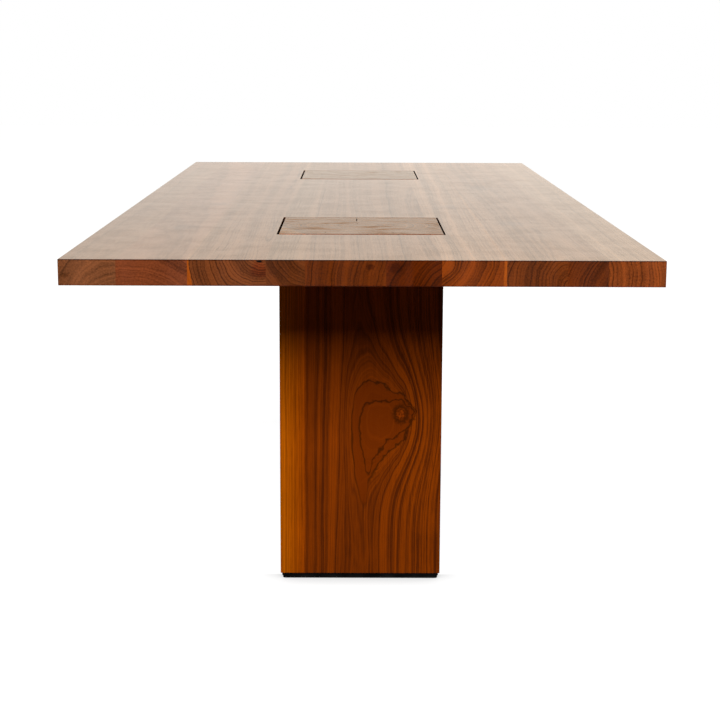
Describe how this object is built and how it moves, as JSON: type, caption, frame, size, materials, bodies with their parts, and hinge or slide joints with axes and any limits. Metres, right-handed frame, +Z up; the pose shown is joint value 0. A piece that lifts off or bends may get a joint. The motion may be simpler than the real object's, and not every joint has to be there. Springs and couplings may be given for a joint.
{
  "type": "dining table",
  "caption": "Rectangular solid walnut dining table on square end-grain pedestals that pass up through the top and finish flush with it, each on a black steel plate.",
  "frame": {"origin": "on the floor, under the middle of the top", "axes": "+Z up, +Y along the length of the table from the pictured end to the other, +X to the right seen from that end"},
  "size_m": [1.1, 2.6, 0.74],
  "materials": {
    "oiled_walnut_staves": "long-grain walnut staves, sanded and oiled, satin",
    "oiled_walnut_heartwood": "boxed-heart walnut, sanded and oiled, satin, end grain with drying checks on top",
    "black_powder_coated_steel": "fine matt black powder coat",
    "zinc_plated_steel": "bright zinc plate",
    "black_rubber": "matt, cut from sheet"
  },
  "bodies": {
    "root": {"angle_far_left": "black_powder_coated_steel", "angle_far_left_block_screw_1": "zinc_plated_steel", "angle_far_left_block_screw_2": "zinc_plated_steel", "angle_far_left_top_screw_1": "zinc_plated_steel", "angle_far_left_top_screw_2": "zinc_plated_steel", "angle_far_right": "black_powder_coated_steel", "angle_far_right_block_screw_1": "zinc_plated_steel", "angle_far_right_block_screw_2": "zinc_plated_steel", "angle_far_right_top_screw_1": "zinc_plated_steel", "angle_far_right_top_screw_2": "zinc_plated_steel", "angle_near_left": "black_powder_coated_steel", "angle_near_left_block_screw_1": "zinc_plated_steel", "angle_near_left_block_screw_2": "zinc_plated_steel", "angle_near_left_top_screw_1": "zinc_plated_steel", "angle_near_left_top_screw_2": "zinc_plated_steel", "angle_near_right": "black_powder_coated_steel", "angle_near_right_block_screw_1": "zinc_plated_steel", "angle_near_right_block_screw_2": "zinc_plated_steel", "angle_near_right_top_screw_1": "zinc_plated_steel", "angle_near_right_top_screw_2": "zinc_plated_steel", "base_plate_far": "black_powder_coated_steel", "base_plate_far_screw_1": "zinc_plated_steel", "base_plate_far_screw_2": "zinc_plated_steel", "base_plate_far_screw_3": "zinc_plated_steel", "base_plate_far_screw_4": "zinc_plated_steel", "base_plate_near": "black_powder_coated_steel", "base_plate_near_screw_1": "zinc_plated_steel", "base_plate_near_screw_2": "zinc_plated_steel", "base_plate_near_screw_3": "zinc_plated_steel", "base_plate_near_screw_4": "zinc_plated_steel", "foot_pad_far": "black_rubber", "foot_pad_near": "black_rubber", "pedestal_far": "oiled_walnut_heartwood", "pedestal_near": "oiled_walnut_heartwood", "stave_1": "oiled_walnut_staves", "stave_10": "oiled_walnut_staves", "stave_2": "oiled_walnut_staves", "stave_3": "oiled_walnut_staves", "stave_4_far": "oiled_walnut_staves", "stave_4_middle": "oiled_walnut_staves", "stave_4_near": "oiled_walnut_staves", "stave_5_far": "oiled_walnut_staves", "stave_5_middle": "oiled_walnut_staves", "stave_5_near": "oiled_walnut_staves", "stave_6_far": "oiled_walnut_staves", "stave_6_middle": "oiled_walnut_staves", "stave_6_near": "oiled_walnut_staves", "stave_7": "oiled_walnut_staves", "stave_8": "oiled_walnut_staves", "stave_9": "oiled_walnut_staves"}
  },
  "joints": []
}
